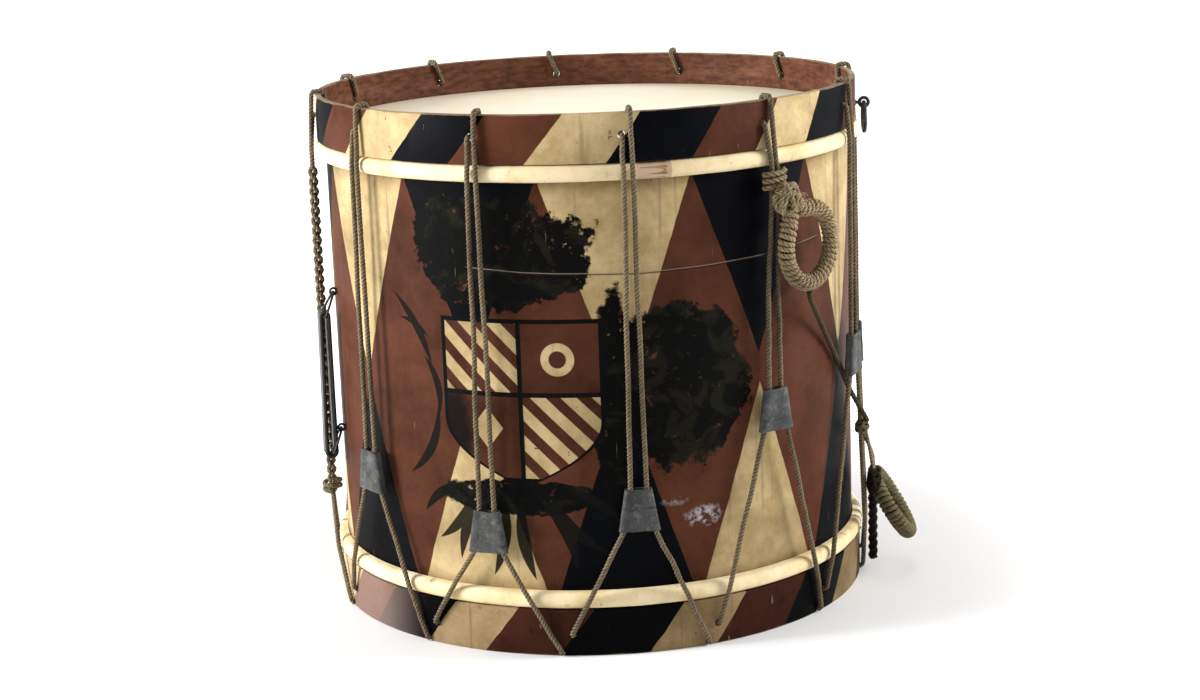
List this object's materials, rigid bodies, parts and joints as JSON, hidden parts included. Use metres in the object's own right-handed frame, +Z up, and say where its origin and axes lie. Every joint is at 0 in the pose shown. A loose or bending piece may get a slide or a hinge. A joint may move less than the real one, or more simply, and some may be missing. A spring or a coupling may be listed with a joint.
{
  "type": "military side drum",
  "caption": "Rope-tensioned side drum with painted shell and counter hoops, calfskin heads, leather tension ears, a carrying ring, a leather handle and a hanging drag rope.",
  "frame": {"origin": "centre of the circle on which the drum stands, at the lower counter hoop's rim", "axes": "+Z up along the drum's axis, from the snare head to the batter head; -Y towards the painted front; +X towards the carrying ring's side"},
  "size_m": [0.4878, 0.4486, 0.412],
  "materials": {
    "painted_shell": "painted wood, worn",
    "painted_hoop": "painted wood, worn",
    "bare_wood": "bare wood",
    "vellum": "stretched calfskin, cream",
    "hemp": "twisted hemp rope",
    "dark_hemp": "blackened hemp rope",
    "grey_leather": "worn grey leather",
    "black_leather": "black leather",
    "iron": "blackened iron",
    "gut": "twisted gut"
  },
  "bodies": {
    "drum": {"batter_head": "vellum", "carrying_eye": "iron", "front_grip_core": "hemp", "front_grip_whipping": "hemp", "gut_snare": "gut", "lower_counter_hoop": "painted_hoop", "lower_flesh_hoop": "bare_wood", "lower_handle_eye": "iron", "lower_stiffening_ring": "bare_wood", "rope_splice": "hemp", "shell": "painted_shell", "side_grip_core": "hemp", "side_grip_whipping": "hemp", "sling_hitch": "hemp", "sling_lashing": "hemp", "sling_run": "hemp", "sling_tail": "dark_hemp", "snare_head": "vellum", "tension_rope": "hemp", "upper_counter_hoop": "painted_hoop", "upper_flesh_hoop": "bare_wood", "upper_handle_eye": "iron", "upper_stiffening_ring": "bare_wood"},
    "ear_01": {"tension_ear_01": "grey_leather"},
    "ear_02": {"tension_ear_02": "grey_leather"},
    "ear_03": {"tension_ear_03": "grey_leather"},
    "ear_04": {"tension_ear_04": "grey_leather"},
    "ear_05": {"tension_ear_05": "grey_leather"},
    "ear_06": {"tension_ear_06": "grey_leather"},
    "ear_07": {"tension_ear_07": "grey_leather"},
    "ear_08": {"tension_ear_08": "grey_leather"},
    "ear_09": {"tension_ear_09": "grey_leather"},
    "ear_11": {"tension_ear_11": "grey_leather"},
    "ear_12": {"tension_ear_12": "grey_leather"},
    "ring": {"carrying_ring": "iron"},
    "upper_link": {"upper_handle_link": "iron"},
    "strap": {"handle_strap": "black_leather"},
    "lower_link": {"lower_handle_link": "iron"}
  },
  "joints": [
    {"name": "ear_01_slide", "type": "slide", "parent": "drum", "child": "ear_01", "axis": [0, 0, 1], "range_m": [0, 0.06]},
    {"name": "ear_02_slide", "type": "slide", "parent": "drum", "child": "ear_02", "axis": [0, 0, 1], "range_m": [0, 0.06]},
    {"name": "ear_03_slide", "type": "slide", "parent": "drum", "child": "ear_03", "axis": [0, 0, 1], "range_m": [0, 0.06]},
    {"name": "ear_04_slide", "type": "slide", "parent": "drum", "child": "ear_04", "axis": [0, 0, 1], "range_m": [0, 0.06]},
    {"name": "ear_05_slide", "type": "slide", "parent": "drum", "child": "ear_05", "axis": [0, 0, 1], "range_m": [0, 0.06]},
    {"name": "ear_06_slide", "type": "slide", "parent": "drum", "child": "ear_06", "axis": [0, 0, 1], "range_m": [0, 0.06]},
    {"name": "ear_07_slide", "type": "slide", "parent": "drum", "child": "ear_07", "axis": [0, 0, 1], "range_m": [0, 0.06]},
    {"name": "ear_08_slide", "type": "slide", "parent": "drum", "child": "ear_08", "axis": [0, 0, 1], "range_m": [0, 0.06]},
    {"name": "ear_09_slide", "type": "slide", "parent": "drum", "child": "ear_09", "axis": [0, 0, 1], "range_m": [0, 0.06]},
    {"name": "ear_11_slide", "type": "slide", "parent": "drum", "child": "ear_11", "axis": [0, 0, 1], "range_m": [0, 0.06]},
    {"name": "ear_12_slide", "type": "slide", "parent": "drum", "child": "ear_12", "axis": [0, 0, 1], "range_m": [0, 0.06]},
    {"name": "ring_swing", "type": "hinge", "parent": "drum", "child": "ring", "pos_m": [0.22286, -0.00778, 0.3831], "axis": [-0.0349, -0.9994, 0], "range_deg": [-5, 150]},
    {"name": "upper_link_swing", "type": "hinge", "parent": "drum", "child": "upper_link", "pos_m": [-0.2057, -0.05129, 0.253], "axis": [-0.2419, 0.9703, 0], "range_deg": [0, 50]},
    {"name": "strap_swing", "type": "hinge", "parent": "upper_link", "child": "strap", "pos_m": [-0.21406, -0.05337, 0.23495], "axis": [-0.2419, 0.9703, 0], "range_deg": [-50, 0]},
    {"name": "lower_link_swing", "type": "hinge", "parent": "drum", "child": "lower_link", "pos_m": [-0.2057, -0.05129, 0.1414], "axis": [-0.2419, 0.9703, 0], "range_deg": [0, 50]}
  ],
  "couplings": [
    {"joint": "strap_swing", "follows": "upper_link_swing", "ratio": -1},
    {"joint": "lower_link_swing", "follows": "upper_link_swing", "ratio": 1}
  ]
}
